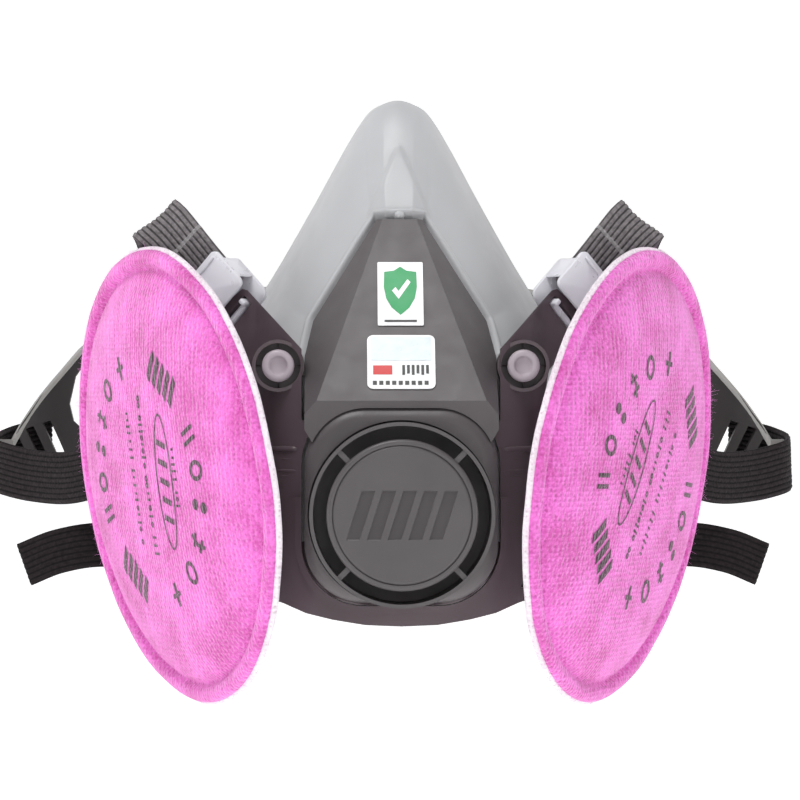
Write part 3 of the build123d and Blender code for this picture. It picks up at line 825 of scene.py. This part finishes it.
def buckles():
    origin, u, v, n = buckle_frame()
    axes = (origin, u, v, n)
    for s, name in ((1, "right"), (-1, "left")):
        body = "buckle_" + name
        front = rounded_plate(f"buckle_front_{name}", 14.8, 11.0, 1.2, 1.6, (-0.3, 8.0, 3.0), axes, s)
        finish(front, body, "buckle_clear", body)
        pieces = [rounded_plate(f"buckle_rear_{name}", 14.8, 13.0, 1.0, 2.2, (-0.3, 5.6, -3.8), axes, s),
                  rounded_plate(f"buckle_step_{name}", 12.2, 0.8, 0.5, 0.3, (-0.3, 12.2, 3.7), axes, s)]
        for k in (1, -1):
            side = (origin, v, n, u)
            pieces.append(rounded_plate(f"buckle_cheek_{name}_{k + 1}", 6.0, 6.4, 0.4, 0.5,
                                        (7.8, -0.5, k * 7.15 - 0.3), side, s))
            pieces.append(rounded_plate(f"buckle_web_{name}_{k + 1}", 1.8, 5.6, 1.2, 0.5,
                                        (0, 0, k * 3.9), side, s))
        for label, place_v, place_w, half in (("rod", 12.3, 2.4, 7.1), ("bar", 0, 0, 4.4)):
            ends = [origin + u * (-0.3 + k * half) + v * place_v + n * place_w for k in (-1, -0.5, 0, 0.5, 1)]
            pieces.append(tube(f"buckle_{label}_{name}", ends, 0.9, CLEAR, s))
        for piece in pieces:
            finish(piece, body, "buckle_clear")


# ---------------------------------------------------------------- small moulded details
YOKE_FACE = [(0, -64.2), (21.6, -59.6), (25.6, -57.0), (28.9, -53.5), (31.2, -49.3), (34, -45.4)]


def along_table(table, x):
    for (x0, y0), (x1, y1) in zip(table, table[1:]):
        if x <= x1:
            return y0 + (y1 - y0) * (x - x0) / (x1 - x0)
    return table[-1][1]


def yoke_details():
    for s, name in ((1, "right"), (-1, "left")):
        for k, (z, r) in enumerate(((-13.4, 0.75), (-15.6, 0.3), (-18.2, 0.45), (-19.4, 0.3))):
            path = [(x, along_table(YOKE_FACE, x) + 0.25, z) for x in np.linspace(22.6, 30.8, 9)]
            finish(tube(f"yoke_ledge_{name}_{k}", path, (r, r), YOKE, s), "root", "yoke_dark")
        for k in range(4):
            a = pi / 2 * k
            start, end = 3.1, 4.95
            path = [(27.2 + r * cos(a), -55.4, 5.1 + r * sin(a)) for r in (start, end)]
            finish(tube(f"yoke_rib_{name}_{k}", path, (0.3, 0.9), YOKE, s), "root", "yoke_dark")


def cover_face():
    """The cap's face: a shallow dish with slanted slats sunk into its middle, painted darker as shade."""
    def sunk(x, z):
        if abs(z) > 5.4:
            return 0.0
        lean = x - 0.32 * z
        best = 9.0
        for k in range(-2, 3):
            best = min(best, abs(lean - 4.5 * k) - 1.45)
        return 0.34 * max(0.0, min(1.0, 0.5 - best / 0.16)) * max(0.0, min(1.0, (5.4 - abs(z)) / 0.16))

    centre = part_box("valve_cover")
    middle_z = (centre[0].z + centre[1].z) / 2 / MM
    rows = []
    for r in list(np.linspace(0.05, 14.6, 150)) + [14.9, 15.1, 15.2]:
        row = []
        for k in range(360):
            x, z = r * cos(radians(k)), r * sin(radians(k))
            drop = 0.0 if r < 14.8 else (r - 14.8) * 0.9
            row.append((x, -75.58 + sunk(x, z) + drop, middle_z + z))
        rows.append(row)
    points, faces = grid(rows)
    disc = face_outwards(mesh_object("cover_face", points, faces, COVER))
    disc.data.materials.append(COVER_SUNK_SHADE)
    # Painted shade: the sunk slats take a darker copy of the cover plastic.
    for polygon in disc.data.polygons:
        x, y, z = polygon.center / MM
        if y > -75.4 and Vector((x, z - middle_z)).length < 14.5:
            polygon.material_index = 1
    finish(disc, "root", "cover_dark")


CRADLE_PLAN = [(0, 116), (30, 113.3), (59, 103.9), (75, 95.5), (87.3, 85.8), (92, 79), (96, 70.4),
               (98.3, 58.6)]                          # x, y
CRADLE_RIM = [(98.0, -15.6), (95.2, -8.8), (91.2, -1.9), (85.3, 5.9), (79.6, 12.4), (70, 17.8),
              (60, 21.8), (45, 25.4), (30, 27.8), (15, 29.3), (0, 29.8)]      # x, z


def cradle_rim():
    """The thicker edge along the top of the head cradle, pale grey as a painted highlight."""
    half = [(x, along_table(CRADLE_PLAN, x), z) for x, z in CRADLE_RIM]
    line = half + [(-x, y, z) for x, y, z in half[-2::-1]]
    path = [tuple(p[:3]) for p in smooth_path(line, 2.5)]
    finish(tube("cradle_rim", path, (0.8, 1.5), PALE_GREY_RIM_HIGHLIGHT, 1), "harness", "cradle_plastic")


# ---------------------------------------------------------------- labels
def on_panel(x, z, lift):
    y = panel_y(z)
    return Vector((x, y - 0.834 * lift, z + 0.553 * lift))


def panel_patch(name, outline, lift, material, slot="label_white"):
    points = [on_panel(x, z, lift) for x, z in outline]
    piece = mesh_object(name, points, [tuple(range(len(points)))], material, smooth=False)
    return finish(piece, "root", slot)


def bar(x0, z0, x1, z1):
    return [(x0, z0), (x1, z0), (x1, z1), (x0, z1)]


def labels():
    shield = [(0, 27.2), (1.4, 26.3), (3.6, 26.0), (3.7, 22.5), (3.2, 20.0), (2.0, 17.9), (0, 16.2)]
    outline = shield + [(-x, z) for x, z in shield[-2:0:-1]]
    panel_patch("label_shield", outline, 0.42, GREEN)
    tick = [(-1.9, 21.7), (-1.1, 22.5), (-0.4, 21.6), (1.6, 24.3), (2.3, 23.6), (-0.4, 19.8)]
    panel_patch("label_tick", tick, 0.48, LABEL)
    panel_patch("label_upper_line", bar(-3.6, 14.6, 3.6, 15.1), 0.42, INK_DARK)
    panel_patch("label_band", bar(-6.6, 6.0, 6.6, 11.2), 0.42, PALE_BLUE)
    panel_patch("label_red", bar(-6.2, 2.9, -2.0, 4.9), 0.42, INK_RED)
    for k in range(6):
        x = 0.2 + k * 1.05
        panel_patch(f"label_mark_{k}", bar(x, 2.8 + 0.3 * (k % 2), x + 0.62, 5.0), 0.42, INK_DARK)
    for k in range(9):
        x = -6.3 + k * 1.42
        panel_patch(f"label_foot_{k}", bar(x, 0.6, x + 0.9, 1.5), 0.42, INK_DARK)


# ---------------------------------------------------------------- carried-over CAD nodes
def dress(node, material, width=0.35, segments=3):
    piece = frame["nodes"][node]
    piece.data.materials.clear()
    piece.data.materials.append(material)
    if width:
        modifier(piece, "BEVEL", width=width * MM, segments=segments, limit_method="ANGLE",
                 angle_limit=radians(28), harden_normals=True)
        piece.data.polygons.foreach_set("use_smooth", [True] * len(piece.data.polygons))


def dress_nodes():
    dress("front_shell", SHELL, 0.4)
    dress("valve_cover", COVER, 0.3)
    dress("exhalation_seat", SHELL, 0)
    dress("exhalation_flap", FLAP, 0)
    dress("harness_yoke", YOKE, 0.4)
    dress("head_cradle", CRADLE, 0.3)
    dress("label_upper", LABEL, 0)
    dress("label_lower", LABEL, 0)
    dress("neck_hook", SHELL, 0.25)
    dress("neck_eye", SHELL, 0.25)
    for side in ("left", "right"):
        dress("inhalation_port_" + side, SHELL, 0.1)
        dress("inhalation_flap_" + side, FLAP, 0)
        dress("port_gasket_" + side, GASKET, 0)
        dress("filter_hub_" + side, HUB, 0.2)
        dress("strap_keeper_" + side, PALE_GREY_RIM_HIGHLIGHT, 0.2)


# ---------------------------------------------------------------- stage, light and camera
def stage():
    width, front, rear, floor, height = 14.0, -6.0, 5.0, -0.26, 9.0
    profile = [(front, floor), (rear - 2, floor)]
    profile += [(rear - 2 + 2 * sin(a), floor + 2 * (1 - cos(a))) for a in np.linspace(0.1, pi / 2, 12)]
    profile.append((rear, height))
    rows = [[Vector((x, y, z)) / MM for x in (-width, width)] for y, z in profile]
    points, faces = grid(rows, wrap=False)
    material, shader = moulded("studio white", (0.9, 0.9, 0.9), 0.95, grain=40, depth=0.0, spread=0.0)
    shader.inputs["Emission Color"].default_value = (1, 1, 1, 1)
    shader.inputs["Emission Strength"].default_value = 0.6
    mesh_object("studio_floor", points, faces, material)


def area_light(name, place_at, target, size, power, color=(1, 1, 1)):
    data = bpy.data.lights.new(name, "AREA")
    data.shape, data.size, data.energy, data.color = "SQUARE", size, power, color
    lamp = bpy.data.objects.new(name, data)
    bpy.context.scene.collection.objects.link(lamp)
    lamp.location = place_at
    lamp.rotation_euler = (Vector(target) - Vector(place_at)).to_track_quat("-Z", "Y").to_euler()


def lights():
    middle = (0, -0.03, 0)
    area_light("key_top", (-0.35, -0.7, 1.5), middle, 0.8, 19)
    area_light("side_left", (-1.6, -0.5, 0.35), middle, 1.0, 8)
    area_light("side_right", (1.6, -0.5, 0.35), middle, 1.0, 8)
    area_light("front", (0.3, -2.2, 0.3), middle, 1.0, 4)
    world = bpy.data.worlds.new("studio")
    bpy.context.scene.world = world
    world.use_nodes = True
    world.node_tree.nodes["Background"].inputs["Color"].default_value = (1, 1, 1, 1)
    world.node_tree.nodes["Background"].inputs["Strength"].default_value = 0.22


def camera():
    distance, yaw, eye = 0.8, radians(1.03), -0.0025
    centre = FILTER_C.y * MM
    data = bpy.data.cameras.new("camera")
    data.sensor_width = 36
    data.lens = 156.8
    data.clip_start, data.clip_end = 0.05, 50
    view = bpy.data.objects.new("camera", data)
    bpy.context.scene.collection.objects.link(view)
    view.location = (0.0003 - distance * sin(yaw), centre - distance * cos(yaw), eye)
    view.rotation_euler = (pi / 2, 0, -yaw)
    bpy.context.scene.camera = view
    bpy.context.scene.view_settings.view_transform = "Standard"


facepiece()
face_details()
filter_discs()
straps()
buckles()
yoke_details()
cover_face()
cradle_rim()
labels()
dress_nodes()
stage()
lights()
camera()
